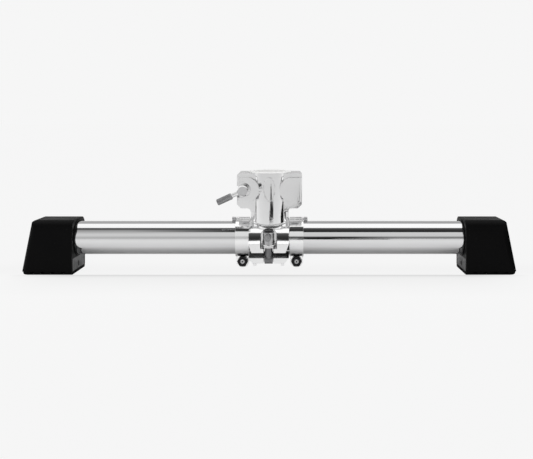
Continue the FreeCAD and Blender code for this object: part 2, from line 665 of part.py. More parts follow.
jaw = jaw.cut(block((-slot_half, slot_half), (-60, eye_back), (-60, 0)))
jaw = jaw.cut(rod(JAW_PIN_D / 2 + RUN, (-60, HINGE_Y, hinge_z), (60, HINGE_Y, hinge_z)))
pin_half = HALF - JAW_TAPER
jaw = jaw.cut(rod(EYE_PIN_D / 2, (-60, -BOLT_OUT, -EYE_DROP), (60, -BOLT_OUT, -EYE_DROP)))
jaw = jaw.removeSplitter()
save("lower_jaw", jaw)

save("jaw_hinge_pin", rod(JAW_PIN_D / 2, (-HALF + 0.4, HINGE_Y, hinge_z), (HALF - 0.4, HINGE_Y, hinge_z)))
save("clamp_eye_pin", rod(EYE_PIN_D / 2, (-pin_half, -BOLT_OUT, -EYE_DROP), (pin_half, -BOLT_OUT, -EYE_DROP)))

# The liner is a split plastic sleeve that slides on the tube inside both jaws.
liner = ring(LINER_OUT, LINER_IN, (-HALF, 0, 0), (HALF, 0, 0))
liner = liner.cut(block((-60, 60), (-TUBE_R - 5, -TUBE_R * 0.65), (-TUBE_R * 0.65 - 3, -TUBE_R * 0.65)))
save("clamp_liner", liner)


# ------------------------------------------------------------------ levers, drawn on an upright bolt
def swing_bolt(diameter, eye_radius, length):
    """Eye bolt standing on its eye, whose pin lies along X."""
    shape = rod(eye_radius, (-EYE_WIDTH / 2, 0, 0), (EYE_WIDTH / 2, 0, 0))
    shape = shape.fuse(rod(diameter / 2, (0, 0, 0), (0, 0, length)))
    return shape.cut(rod(EYE_PIN_D / 2 + RUN, (-20, 0, 0), (20, 0, 0))).removeSplitter()


def washer(diameter, height):
    """Washer lying on the jaw around the bolt."""
    return ring(WASHER_R, diameter / 2 + RUN, (0, 0, height), (0, 0, height + WASHER_THICKNESS))


def lever(diameter, foot):
    """Hub with a blind bore over the bolt and a plain arm that points forwards."""
    hub = rod(HUB_R, (0, 0, foot), (0, 0, foot + HUB_HEIGHT))
    hub = hub.makeChamfer(0.8, [e for e in hub.Edges if e.BoundBox.ZLength < 0.01])
    arm_z = foot + ARM_HEIGHT
    arm = rod(NECK_D / 2, (0, -HUB_R + 1.5, arm_z), (0, -LEVER_REACH + 1.8, arm_z))
    bore = rod(diameter / 2 + RUN, (0, 0, foot - 1), (0, 0, foot + HUB_HEIGHT - 2.0))
    return hub.fuse(arm).cut(bore).removeSplitter()


def lever_cap(foot):
    """Domed cap on the hub."""
    top = foot + HUB_HEIGHT
    cap = rod(CAP_R, (0, 0, top), (0, 0, top + CAP_HEIGHT))
    return cap.makeFillet(1.6, [e for e in cap.Edges if e.BoundBox.ZMin > top + CAP_HEIGHT - 0.01])


def sleeve(foot):
    """Fluted grip pushed over the end of the arm."""
    arm_z = foot + ARM_HEIGHT
    grip = rod(SLEEVE_D / 2, (0, -SLEEVE_START, arm_z), (0, -LEVER_REACH, arm_z))
    grip = grip.makeChamfer(0.6, [e for e in grip.Edges if e.BoundBox.YLength < 0.01])
    for i in range(FLUTES):
        turn = 2 * math.pi * i / FLUTES
        x = SLEEVE_D / 2 * math.sin(turn)
        z = arm_z + SLEEVE_D / 2 * math.cos(turn)
        grip = grip.cut(rod(FLUTE_R, (x, -SLEEVE_START - 1.2, z), (x, -LEVER_REACH - 1, z)))
    return grip.cut(rod(NECK_D / 2 + RUN, (0, 0, arm_z), (0, -LEVER_REACH + 1.6, arm_z)))


def at_clamp(shape):
    """Upright bolt in the lower jaw's lip."""
    shape.translate(Vector(0, -BOLT_OUT, -EYE_DROP))
    return shape


def at_socket(shape):
    """Bolt laid forwards through the left ear, its lever turned to the left and down."""
    shape.rotate(Vector(0, 0, 0), Vector(0, 0, 1), -90)
    shape.rotate(Vector(0, 0, 0), Vector(1, 0, 0), 90)
    shape.rotate(Vector(0, 0, 0), Vector(0, 1, 0), -SOCKET_LEVER_DROOP)
    shape.translate(Vector(-SOCKET_BOLT_X, SOCKET_BOLT_SETBACK, SOCKET_BOLT_Z))
    return shape


clamp_seat = EYE_DROP - NICHE_FLOOR + WASHER_GAP
clamp_foot = clamp_seat + WASHER_THICKNESS + RUN
clamp_length = clamp_foot + HUB_HEIGHT - 3.5
save("clamp_bolt", at_clamp(swing_bolt(CLAMP_BOLT_D, CLAMP_EYE_R, clamp_length)))
save("clamp_washer", at_clamp(washer(CLAMP_BOLT_D, clamp_seat)))
save("clamp_lever", at_clamp(lever(CLAMP_BOLT_D, clamp_foot)))
save("clamp_lever_sleeve", at_clamp(sleeve(clamp_foot)))
save("clamp_lever_cap", at_clamp(lever_cap(clamp_foot)))

socket_seat = seat_r + WASHER_GAP
socket_foot = socket_seat + WASHER_THICKNESS + RUN
socket_length = socket_foot + HUB_HEIGHT - 3.5
upright_eye = swing_bolt(SOCKET_BOLT_D, SOCKET_EYE_R, socket_length)
upright_eye.rotate(Vector(0, 0, 0), Vector(0, 0, 1), 90)
upright_eye.rotate(Vector(0, 0, 0), Vector(1, 0, 0), 90)
upright_eye.translate(Vector(-SOCKET_BOLT_X, SOCKET_BOLT_SETBACK, SOCKET_BOLT_Z))
save("socket_bolt", upright_eye)
save("socket_washer", at_socket(washer(SOCKET_BOLT_D, socket_seat)))
save("socket_lever", at_socket(lever(SOCKET_BOLT_D, socket_foot)))
save("socket_lever_sleeve", at_socket(sleeve(socket_foot)))
save("socket_lever_cap", at_socket(lever_cap(socket_foot)))

# ------------------------------------------------------------------ socket gate, its pins and liner
shell = rod(COLUMN_R, (0, 0, HEAD_BOTTOM), (0, 0, HEAD_TOP)).common(behind_split)
pad = block(
    (-GATE_PAD_WIDTH / 2, GATE_PAD_WIDTH / 2),
    (0, GATE_DEPTH),
    (HEAD_BOTTOM + 4, HEAD_TOP - 4),
).common(behind_split)
pad = pad.makeFillet(GATE_PAD_ROUND, [e for e in pad.Edges if e.BoundBox.YMin > GATE_DEPTH - 0.01])
gate = shell.fuse(ears(1).common(behind_split)).fuse(boss(1).common(behind_split)).fuse(pad)
gate = gate.cut(rod(COLUMN_BORE, (0, 0, 0), (0, 0, 200)))
gate = gate.cut(gate_pin_rod(GATE_KNUCKLE_R + HINGE_GAP, 0, 200))
gate = gate.fuse(gate_pin_rod(GATE_KNUCKLE_R, *knuckle))
web = block((GATE_PIN_X - 8, GATE_PIN_X), (SPLIT_GAP / 2, EAR_THICKNESS), knuckle)
gate = gate.fuse(web)
gate = gate.cut(gate_pin_rod(GATE_PIN_D / 2 + RUN, 0, 200))
gate = gate.cut(rod(COLUMN_BORE, (0, 0, 0), (0, 0, 200)))
eye_slot = EYE_WIDTH / 2 + 0.3
gate = gate.cut(
    block(
        (-100, -SOCKET_BOLT_X + SOCKET_EYE_R + 0.8),
        (-60, 60),
        (SOCKET_BOLT_Z - eye_slot, SOCKET_BOLT_Z + eye_slot),
    )
)
pin_low, pin_high = SOCKET_BOLT_Z - EYE_PIN_HALF, SOCKET_BOLT_Z + EYE_PIN_HALF
gate = gate.cut(rod(EYE_PIN_D / 2, (*eye_at, pin_low), (*eye_at, pin_high)))
save("socket_gate", gate.removeSplitter())

save("gate_hinge_pin", gate_pin_rod(GATE_PIN_D / 2, HEAD_BOTTOM + EAR_CHAMFER + 0.5, HEAD_TOP - 0.4))
save("socket_eye_pin", rod(EYE_PIN_D / 2, (*eye_at, pin_low), (*eye_at, pin_high)))

socket_liner = ring(SOCKET_OUT, SOCKET_IN, (0, 0, SOCKET_Z), (0, 0, HEAD_TOP + SEAT + LINER_FLANGE))
flange = ring(
    COLUMN_R + FLANGE_OVERHANG,
    SOCKET_IN,
    (0, 0, HEAD_TOP + SEAT),
    (0, 0, HEAD_TOP + SEAT + LINER_FLANGE),
)
socket_liner = socket_liner.fuse(flange).cut(block((-60, 0), (-1, 1), (0, 200))).removeSplitter()
save("socket_liner", socket_liner)


# ------------------------------------------------------------------ stop collars, drawn at the right
def collar_half(sign):
    """Front (-1) or back (1) half: half a ring, a bolt lug below and hinge knuckles on top."""
    start, end = COLLAR_IN, COLLAR_IN + COLLAR_WIDTH
    middle = (start + end) / 2
    half = rod(COLLAR_R, (start, 0, 0), (end, 0, 0))
    lug_y = sorted((sign * COLLAR_SPLIT / 2, sign * (COLLAR_SPLIT / 2 + COLLAR_LUG_THICKNESS)))
    low = -COLLAR_BOLT_DROP
    lug = rod(COLLAR_LUG_R, (middle, lug_y[0], low), (middle, lug_y[1], low))
    lug = lug.fuse(
        block((middle - COLLAR_LUG_R, middle + COLLAR_LUG_R), lug_y, (low, -TUBE_R + 1))
    )
    half = half.fuse(lug)
    near, far = sorted((sign * COLLAR_SPLIT / 2, sign * 60))
    half = half.common(block((0, 100), (near, far), (-60, 60)))
    pin_z = COLLAR_PIN_Z
    third = COLLAR_WIDTH / 3
    spans = [(start, start + third), (end - third, end)] if sign < 0 else [(start + third, end - third)]
    others = [(start + third, end - third)] if sign < 0 else [(start, start + third), (end - third, end)]
    for low_x, high_x in others:
        room = (low_x - HINGE_GAP / 2, 0, pin_z), (high_x + HINGE_GAP / 2, 0, pin_z)
        half = half.cut(rod(COLLAR_KNUCKLE_R + HINGE_GAP, *room))
    for low_x, high_x in spans:
        half = half.fuse(rod(COLLAR_KNUCKLE_R, (low_x, 0, pin_z), (high_x, 0, pin_z)))
    half = half.cut(rod(COLLAR_PIN_D / 2 + RUN, (start - 1, 0, pin_z), (end + 1, 0, pin_z)))
    half = half.cut(rod(TUBE_R + RUN, (0, 0, 0), (100, 0, 0)))
    half = half.cut(rod(COLLAR_BOLT_D / 2 + HOLE, (middle, -60, low), (middle, 60, low)))
    room = COLLAR_NUT_AF / math.sqrt(3) + HOLE
    lug_end = COLLAR_SPLIT / 2 + COLLAR_LUG_THICKNESS
    beside = sorted((sign * lug_end, sign * 60))
    half = half.cut(block((middle - room, middle + room), beside, (-60, low + COLLAR_NUT_AF / 2 + 0.3)))
    return half.removeSplitter()


collar_mid = COLLAR_IN + COLLAR_WIDTH / 2
collar_out = COLLAR_IN + COLLAR_WIDTH
pin_z = COLLAR_PIN_Z
lug_face = COLLAR_SPLIT / 2 + COLLAR_LUG_THICKNESS
bolt_z = -COLLAR_BOLT_DROP
collar_pin = rod(COLLAR_PIN_D / 2, (COLLAR_IN + 0.3, 0, pin_z), (collar_out + 1, 0, pin_z))
collar_pin = collar_pin.fuse(
    rod(COLLAR_PIN_HEAD_R, (collar_out + 0.5, 0, pin_z), (collar_out + 0.5 + COLLAR_PIN_HEAD, 0, pin_z))
).removeSplitter()
collar_bolt = rod(
    COLLAR_BOLT_D / 2,
    (collar_mid, -lug_face - COLLAR_NUT_HEIGHT - 0.4, bolt_z),
    (collar_mid, lug_face + 1, bolt_z),
)
collar_bolt = collar_bolt.fuse(
    rod(COLLAR_BOLT_D * 0.85, (collar_mid, lug_face + 0.05, bolt_z), (collar_mid, lug_face + 3.2, bolt_z))
).removeSplitter()
nut_start = (collar_mid, -lug_face - 0.05 - COLLAR_NUT_HEIGHT, bolt_z)
collar_nut = hexagon(COLLAR_NUT_AF, nut_start, COLLAR_NUT_HEIGHT)
collar_nut = collar_nut.common(
    rod(COLLAR_NUT_AF * 0.565, nut_start, (collar_mid, -lug_face - 0.05, bolt_z))
)
collar_nut = collar_nut.cut(
    rod(COLLAR_BOLT_D / 2 + RUN, (collar_mid, -60, bolt_z), (collar_mid, 60, bolt_z))
)

collar = {
    "collar_front": collar_half(-1),
    "collar_back": collar_half(1),
    "collar_pin": collar_pin,
    "collar_bolt": collar_bolt,
    "collar_nut": collar_nut,
}
for name, shape in collar.items():
    save("right_" + name, shape)
    save("left_" + name, mirror_x(shape))
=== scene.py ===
import math

import bpy
import numpy as np
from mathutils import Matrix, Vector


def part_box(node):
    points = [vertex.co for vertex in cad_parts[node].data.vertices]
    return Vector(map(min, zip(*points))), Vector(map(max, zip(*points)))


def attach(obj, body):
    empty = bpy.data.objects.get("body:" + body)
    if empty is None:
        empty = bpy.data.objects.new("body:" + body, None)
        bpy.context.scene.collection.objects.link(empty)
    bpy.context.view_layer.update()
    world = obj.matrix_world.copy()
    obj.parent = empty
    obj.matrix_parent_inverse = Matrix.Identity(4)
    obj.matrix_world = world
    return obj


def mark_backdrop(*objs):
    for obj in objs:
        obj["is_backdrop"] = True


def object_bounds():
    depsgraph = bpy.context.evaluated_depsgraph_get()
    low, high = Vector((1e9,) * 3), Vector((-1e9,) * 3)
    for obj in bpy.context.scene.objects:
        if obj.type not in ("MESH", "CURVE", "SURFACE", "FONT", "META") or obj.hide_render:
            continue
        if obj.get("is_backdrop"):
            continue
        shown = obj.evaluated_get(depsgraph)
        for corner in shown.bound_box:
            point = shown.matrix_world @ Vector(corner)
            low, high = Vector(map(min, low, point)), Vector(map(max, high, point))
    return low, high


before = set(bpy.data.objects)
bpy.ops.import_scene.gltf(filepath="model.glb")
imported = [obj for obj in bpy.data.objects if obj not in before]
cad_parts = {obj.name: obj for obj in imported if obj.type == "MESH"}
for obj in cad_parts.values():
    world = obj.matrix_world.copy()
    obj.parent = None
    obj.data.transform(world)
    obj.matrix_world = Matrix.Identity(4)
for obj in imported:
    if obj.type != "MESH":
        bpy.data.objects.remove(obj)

cad_low, cad_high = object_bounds()

# ---------------------------------------------------------------- rail tube
# One length of drawn steel tube, polished along its length and chrome plated. The feet hold its
# ends and the clamp slides on it, so long fine polishing lines run along it.
tube_low, tube_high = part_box("rail_tube")
axis_y = (tube_low.y + tube_high.y) / 2
axis_z = (tube_low.z + tube_high.z) / 2
tube_r = (tube_high.z - tube_low.z) / 2


def skin_group():
    """Group that turns a place on the object into a soft mottle and a surface relief.

    Mottle is one wide noise. Relief is that noise plus a finer one, weighted by Grain.
    """
    group = bpy.data.node_groups.new("metal_skin", "ShaderNodeTree")
    sockets = group.interface
    sockets.new_socket("Place", in_out="INPUT", socket_type="NodeSocketVector")
    sockets.new_socket("Wide", in_out="INPUT", socket_type="NodeSocketFloat")
    sockets.new_socket("Fine", in_out="INPUT", socket_type="NodeSocketFloat")
    sockets.new_socket("Grain", in_out="INPUT", socket_type="NodeSocketFloat")
    sockets.new_socket("Mottle", in_out="OUTPUT", socket_type="NodeSocketFloat")
    sockets.new_socket("Relief", in_out="OUTPUT", socket_type="NodeSocketFloat")
    inside = group.nodes.new("NodeGroupInput")
    outside = group.nodes.new("NodeGroupOutput")
    wide = group.nodes.new("ShaderNodeTexNoise")
    fine = group.nodes.new("ShaderNodeTexNoise")
    wide.inputs["Detail"].default_value = 3.0
    fine.inputs["Detail"].default_value = 2.0
    blend = group.nodes.new("ShaderNodeMath")
    blend.operation = "MULTIPLY_ADD"
    for noise, scale in ((wide, "Wide"), (fine, "Fine")):
        group.links.new(inside.outputs["Place"], noise.inputs["Vector"])
        group.links.new(inside.outputs[scale], noise.inputs["Scale"])
    group.links.new(fine.outputs["Fac"], blend.inputs[0])
    group.links.new(inside.outputs["Grain"], blend.inputs[1])
    group.links.new(wide.outputs["Fac"], blend.inputs[2])
    group.links.new(wide.outputs["Fac"], outside.inputs["Mottle"])
    group.links.new(blend.outputs[0], outside.inputs["Relief"])
    return group


metal_skin = skin_group()
# Nearly all of the mottle lies between these two values.
MOTTLE_LOW, MOTTLE_HIGH = 0.3, 0.7


def finish(name, light, dark, rough, metal=1.0, wide=30.0, fine=900.0, grain=0.3, relief=0.0002,
           stretch=(1.0, 1.0, 1.0), edge=0.0, specular=0.5):
    """Material with two tones, two roughnesses and a relief, all read from the piece's own place.

    The mottle runs from light to dark, and from the first roughness of rough to the second. Wide
    and fine are the pattern's scales, and grain is the fine one's share of the relief. Relief is
    its height and edge the radius that edges look rounded to, both in metres. Stretch squeezes
    the pattern along X, Y and Z, and a number under 1 draws it out.
    """
    material = bpy.data.materials.new(name)
    material.use_nodes = True
    nodes, links = material.node_tree.nodes, material.node_tree.links
    shader = nodes["Principled BSDF"]
    shader.inputs["Metallic"].default_value = metal
    shader.inputs["Specular IOR Level"].default_value = specular
    place = nodes.new("ShaderNodeTexCoord")
    drawn = nodes.new("ShaderNodeMapping")
    drawn.inputs["Scale"].default_value = stretch
    skin = nodes.new("ShaderNodeGroup")
    skin.node_tree = metal_skin
    skin.inputs["Wide"].default_value = wide
    skin.inputs["Fine"].default_value = fine
    skin.inputs["Grain"].default_value = grain
    tone = nodes.new("ShaderNodeMix")
    tone.data_type = "RGBA"
    tone.inputs["A"].default_value = (*light, 1.0)
    tone.inputs["B"].default_value = (*dark, 1.0)
    gloss = nodes.new("ShaderNodeMapRange")
    gloss.inputs["From Min"].default_value = MOTTLE_LOW
    gloss.inputs["From Max"].default_value = MOTTLE_HIGH
    gloss.inputs["To Min"].default_value = rough[0]
    gloss.inputs["To Max"].default_value = rough[1]
    bump = nodes.new("ShaderNodeBump")
    bump.inputs["Strength"].default_value = 1.0
    bump.inputs["Distance"].default_value = relief
    links.new(place.outputs["Object"], drawn.inputs["Vector"])
    links.new(drawn.outputs["Vector"], skin.inputs["Place"])
    links.new(skin.outputs["Mottle"], tone.inputs["Factor"])
    links.new(skin.outputs["Mottle"], gloss.inputs["Value"])
    links.new(skin.outputs["Relief"], bump.inputs["Height"])
    links.new(tone.outputs["Result"], shader.inputs["Base Color"])
    links.new(gloss.outputs["Result"], shader.inputs["Roughness"])
    links.new(bump.outputs["Normal"], shader.inputs["Normal"])
    if edge:
        soft = nodes.new("ShaderNodeBevel")
        soft.samples = 4
        soft.inputs["Radius"].default_value = edge
        links.new(soft.outputs["Normal"], bump.inputs["Normal"])
    return material


def dress(material, *names):
    """Gives CAD nodes their finish."""
    for name in names:
        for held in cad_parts[name].material_slots:
            held.material = material


polished_tube = finish("polished_tube", (0.77, 0.77, 0.775), (0.73, 0.73, 0.735), (0.045, 0.07),
                       wide=60.0, fine=1500.0, grain=0.5, relief=0.000002, stretch=(0.04, 1.0, 1.0))
dress(polished_tube, "rail_tube")

# ---------------------------------------------------------------- feet
# Moulded black rubber boots pushed over the tube ends, with a grey moulded core under the tube and
# a grooved sole screwed on from below. The rubber is matt, with a fine pebble from the mould.
black_rubber = finish("black_rubber", (0.0020, 0.0020, 0.0021), (0.0034, 0.0034, 0.0035), (0.38, 0.5),
                      metal=0.0, wide=45.0, fine=1400.0, grain=0.8, relief=0.00012, edge=0.0014,
                      specular=0.045)
sole_rubber = finish("sole_rubber", (0.002, 0.002, 0.002), (0.004, 0.004, 0.004), (0.5, 0.7),
                     metal=0.0, wide=80.0, fine=1800.0, grain=0.8, relief=0.0001, edge=0.0005,
                     specular=0.05)
moulded_grey = finish("moulded_grey", (0.13, 0.13, 0.132), (0.075, 0.075, 0.077), (0.4, 0.6),
                      metal=0.0, wide=160.0, fine=1500.0, grain=1.0, relief=0.0004, specular=0.4)
for hand in ("left_", "right_"):
    dress(black_rubber, hand + "foot_boot")
    dress(sole_rubber, hand + "foot_sole")
    dress(moulded_grey, hand + "foot_core", hand + "end_plug")

# ---------------------------------------------------------------- castings
# Clamp body, lower jaw, socket gate and stop collars are zinc castings, barrel polished and chrome
# plated. Their faces are slightly wavy and every edge is softened by the polishing.
plated_casting = finish("plated_casting", (0.87, 0.87, 0.87), (0.80, 0.80, 0.805), (0.05, 0.09),
                        wide=70.0, fine=420.0, grain=0.25, relief=0.00006, edge=0.0006)
# The gap between the jaws is painted shade: its walls are darkened in the casting's colour, where
# shade falls between the jaws. Its lower and upper limits are heights above the tube's underside,
# and the painted shade fades out over gap_fade each side of them.
gap_bottom = tube_low.z + 0.0026
gap_top = tube_low.z + 0.0067
gap_fade = 0.0003
nodes, links = plated_casting.node_tree.nodes, plated_casting.node_tree.links
shader = nodes["Principled BSDF"]
place = next(n for n in nodes if n.type == "TEX_COORD")
level = nodes.new("ShaderNodeSeparateXYZ")
links.new(place.outputs["Object"], level.inputs["Vector"])
gap_shade_mask = None
for start, end in ((gap_bottom - gap_fade, gap_bottom + gap_fade),
                   (gap_top + gap_fade, gap_top - gap_fade)):
    step = nodes.new("ShaderNodeMapRange")
    step.inputs["From Min"].default_value = start
    step.inputs["From Max"].default_value = end
    links.new(level.outputs["Z"], step.inputs["Value"])
    if gap_shade_mask is None:
        gap_shade_mask = step.outputs["Result"]
    else:
        both = nodes.new("ShaderNodeMath")
        both.operation = "MULTIPLY"
        links.new(gap_shade_mask, both.inputs[0])
        links.new(step.outputs["Result"], both.inputs[1])
        gap_shade_mask = both.outputs[0]
# Painted shade: mixes a dark grey into the casting's colour inside the gap.
darker = nodes.new("ShaderNodeMix")
darker.data_type = "RGBA"
links.new(gap_shade_mask, darker.inputs["Factor"])
links.new(shader.inputs["Base Color"].links[0].from_socket, darker.inputs["A"])
darker.inputs["B"].default_value = (0.11, 0.11, 0.112, 1.0)
links.new(darker.outputs["Result"], shader.inputs["Base Color"])
dress(plated_casting, "clamp_body", "lower_jaw", "socket_gate", "clamp_washer", "socket_washer",
      "socket_lever")
# A lighter copy of the casting finish, for the stop collars and the lever flange: painted light.
painted_light_casting = finish("painted_light_casting", (0.93, 0.93, 0.93), (0.88, 0.88, 0.885), (0.07, 0.11),
                        wide=70.0, fine=420.0, grain=0.25, relief=0.00004, edge=0.0006)
for hand in ("left_", "right_"):
    dress(painted_light_casting, hand + "collar_front", hand + "collar_back")
# A darker copy of the casting finish for the clamp lever: painted shade.
painted_shade_casting = finish("painted_shade_casting", (0.5, 0.5, 0.505), (0.38, 0.38, 0.385), (0.1, 0.2),
                        wide=260.0, fine=1200.0, grain=0.4, relief=0.0002, edge=0.0005)
dress(painted_shade_casting, "clamp_lever")

# ---------------------------------------------------------------- liners
# Split nylon sleeves: black where the clamp slides on the tube, white in the post socket, where
# the flange shows as a pale rim around the socket's mouth.
black_nylon = finish("black_nylon", (0.02, 0.02, 0.02), (0.035, 0.035, 0.035), (0.35, 0.5), metal=0.0,
                     wide=90.0, relief=0.00005)
white_nylon = finish("white_nylon", (1.0, 1.0, 0.99), (0.96, 0.96, 0.95), (0.3, 0.42), metal=0.0,
                     wide=90.0, relief=0.00005)
dress(black_nylon, "clamp_liner")
dress(white_nylon, "socket_liner")

# ---------------------------------------------------------------- pins, bolts and levers
# Turned steel pins, zinc plated; dark swing bolts; black oxide hex nuts; and clamping levers with
# a fluted steel sleeve and a plastic cap snapped into the hub.
bright_steel = finish("bright_steel", (0.62, 0.62, 0.63), (0.5, 0.5, 0.51), (0.16, 0.28),
                      wide=200.0, fine=2500.0, relief=0.00004)
dark_steel = finish("dark_steel", (0.24, 0.24, 0.245), (0.16, 0.16, 0.165), (0.28, 0.42),
                    wide=240.0, fine=2500.0, relief=0.00004)
sleeve_steel = finish("sleeve_steel", (0.42, 0.42, 0.425), (0.26, 0.26, 0.265), (0.2, 0.34),
                      wide=420.0, fine=2500.0, relief=0.00006)
black_oxide = finish("black_oxide", (0.02, 0.02, 0.021), (0.008, 0.008, 0.009), (0.3, 0.45), metal=0.6,
                     wide=300.0, fine=2500.0, relief=0.00004, edge=0.0004, specular=0.3)
black_cap = finish("black_cap", (0.012, 0.012, 0.013), (0.02, 0.02, 0.021), (0.18, 0.3), metal=0.0,
                   wide=250.0, relief=0.00003, specular=0.3)
grey_cap = finish("grey_cap", (0.52, 0.52, 0.525), (0.44, 0.44, 0.445), (0.25, 0.38), metal=0.0,
                  wide=250.0, relief=0.00004)
dress(bright_steel, "jaw_hinge_pin", "gate_hinge_pin", "clamp_eye_pin", "socket_eye_pin",
      "foot_tube_screws", "foot_sole_screws",
      "left_collar_pin", "right_collar_pin", "left_collar_bolt", "right_collar_bolt")
dress(dark_steel, "clamp_bolt", "socket_bolt")
dress(sleeve_steel, "clamp_lever_sleeve", "socket_lever_sleeve")
dress(black_oxide, "left_collar_nut", "right_collar_nut", "foot_lock_screws")
dress(black_cap, "clamp_lever_cap")
dress(grey_cap, "socket_lever_cap")

# ---------------------------------------------------------------- tube lips
# Where the tube enters a boot the rubber ends in a small rolled lip, moulded in one with the boot
# and stretched tight round the tube.
def turned(name, profile, centre, axis, body, material, closed=False, steps=72):
    """Piece of revolution, riding on a body.

    Point (i, j) = centre + r_i (u cos a_j + v sin a_j) + h_i axis, with a_j = 2 pi j / steps and
    u, v square to the axis. A closed profile makes a ring, an open one runs from pole to pole.
    """
    profile = np.array(profile, dtype=float)
    axis = np.array(axis, dtype=float)
    u = np.array([0.0, 0.0, 1.0]) if abs(axis[2]) < 0.5 else np.array([1.0, 0.0, 0.0])
    v = np.cross(axis, u)
    inner = profile if closed else profile[1:-1]
    angle = 2 * np.pi * np.arange(steps) / steps
    around = np.cos(angle)[:, None] * u + np.sin(angle)[:, None] * v
    points = np.array(centre) + inner[:, 0, None, None] * around + inner[:, 1, None, None] * axis
    points = points.reshape(-1, 3)
    i, j = np.meshgrid(np.arange(len(inner) if closed else len(inner) - 1), np.arange(steps),
                       indexing="ij")
    after, beside = (i + 1) % len(inner), (j + 1) % steps
    quads = np.stack([i * steps + j, i * steps + beside, after * steps + beside, after * steps + j],
                     axis=-1).reshape(-1, 4).tolist()
    if not closed:
        ends = np.array(centre) + profile[[0, -1], 1][:, None] * axis
        first, last = len(points), len(points) + 1
        points = np.vstack([points, ends])
        turn = np.arange(steps)
        beside = (turn + 1) % steps
        top = (len(inner) - 1) * steps
        quads += np.stack([np.full(steps, first), beside, turn], axis=-1).tolist()
        quads += np.stack([top + turn, top + beside, np.full(steps, last)], axis=-1).tolist()
    mesh = bpy.data.meshes.new(name)
    mesh.from_pydata(points.tolist(), [], quads)
    mesh.materials.append(material)
    mesh.shade_smooth()
    mesh.set_sharp_from_angle(angle=math.radians(40))
    piece = bpy.data.objects.new(name, mesh)
    bpy.context.scene.collection.objects.link(piece)
    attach(piece, body)
    return piece


bead = np.linspace(0, 2 * np.pi, 16, endpoint=False)
bead_r = 0.0009
bead_stand = 0.0011    # from the tube's surface to the middle of the bead
for hand, facing in (("left_", 1), ("right_", -1)):
    low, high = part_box(hand + "foot_boot")
    face = high.x if facing > 0 else low.x
    ring = np.stack([tube_r + bead_stand + bead_r * np.cos(bead), bead_r * np.sin(bead)], axis=1)
    turned(hand + "tube_lip", ring, (face, axis_y, axis_z), (1, 0, 0), "rail", black_rubber,
           closed=True, steps=96)

# ---------------------------------------------------------------- bolt tips
# The bolt of each stop collar ends in a chamfered tip with a drilled centre, which stands out of
# its black nut; the turning leaves the tip bright, and a dark disc in the drilled centre is painted
# shade.
painted_hole_shade = finish("painted_hole_shade", (0.03, 0.03, 0.03), (0.015, 0.015, 0.015), (0.5, 0.7), metal=0.3,
                   wide=600.0, relief=0.00002)
tip_r, hole_r = 0.00235, 0.0009
tip_height, chamfer = 0.0007, 0.0004
floor_height = 0.00045    # of the dark disc, painted shade, that fills the drilled centre
tip = [(0, 0), (tip_r, 0), (tip_r, tip_height - chamfer), (tip_r - chamfer, tip_height),
       (hole_r + 0.0002, tip_height), (hole_r, 0.0005), (hole_r * 0.8, 0.0001), (0, 0.00005)]
disc = [(0, 0), (hole_r * 0.95, 0), (hole_r * 0.95, floor_height), (0, floor_height)]
for hand in ("left_", "right_"):
    low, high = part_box(hand + "collar_bolt")
    middle = ((low.x + high.x) / 2, low.y, (low.z + high.z) / 2)
    turned(hand + "bolt_tip", tip, middle, (0, -1, 0), hand + "collar", bright_steel)
    turned(hand + "bolt_hole_shade", disc, middle, (0, -1, 0), hand + "collar", painted_hole_shade)

# ---------------------------------------------------------------- lever flange
# The foot of the clamp lever's hub is turned to a rounded flange that bears on the washer when the
# lever is done up. It takes the lighter copy of the casting finish, a painted highlight.
flange_r = 0.0011
flange_inset = 0.0006    # from the washer's rim in to the middle of the flange's round
low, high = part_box("clamp_lever")
seat_low, seat_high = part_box("clamp_washer")
centre = ((seat_low.x + seat_high.x) / 2, (seat_low.y + seat_high.y) / 2, low.z + flange_r)
flange_mid = (seat_high.x - seat_low.x) / 2 - flange_inset
ring = np.stack([flange_mid + flange_r * np.cos(bead), flange_r * np.sin(bead)], axis=1)
turned("clamp_lever_flange", ring, centre, (0, 0, 1), "jaw_lever", painted_light_casting, closed=True)

# ---------------------------------------------------------------- studio
# A pale sweep runs from under the object to the horizon, lit evenly from all round. A long soft
# strip hangs overhead, and darker room shows below it towards the camera.
pale = 0.9216     # grey of the paper and of the air behind it
reach = 40.0      # half the sweep's width, in metres
sweep = bpy.data.meshes.new("sweep")
sweep.from_pydata([(-reach, -reach, 0), (reach, -reach, 0), (reach, reach, 0), (-reach, reach, 0)],
                  [], [(0, 1, 2, 3)])
floor = bpy.data.objects.new("floor", sweep)
bpy.context.scene.collection.objects.link(floor)
paper = bpy.data.materials.new("pale_paper")
paper.use_nodes = True
nodes, links = paper.node_tree.nodes, paper.node_tree.links
nodes.remove(nodes["Principled BSDF"])
chalk = nodes.new("ShaderNodeBsdfDiffuse")
glow = nodes.new("ShaderNodeEmission")
lift = nodes.new("ShaderNodeMixShader")
ray = nodes.new("ShaderNodeLightPath")
share = nodes.new("ShaderNodeMath")
share.operation = "MULTIPLY"
share.inputs[1].default_value = 0.95    # how much of the paper's look is its own glow, which holds the painted shadow line
spot = nodes.new("ShaderNodeTexCoord")
apart = nodes.new("ShaderNodeSeparateXYZ")
links.new(spot.outputs["Object"], apart.inputs["Vector"])


def ramp(value, stops):
    """Grey ramp on a value from 0 to 1, through (value, grey) stops."""
    greys = nodes.new("ShaderNodeValToRGB")
    while len(greys.color_ramp.elements) < len(stops):
        greys.color_ramp.elements.new(0.5)
    for element, (at, grey) in zip(greys.color_ramp.elements, stops):
        element.position = at
        element.color = (grey, grey, grey, 1.0)
    links.new(value, greys.inputs["Fac"])
    return greys.outputs["Color"]


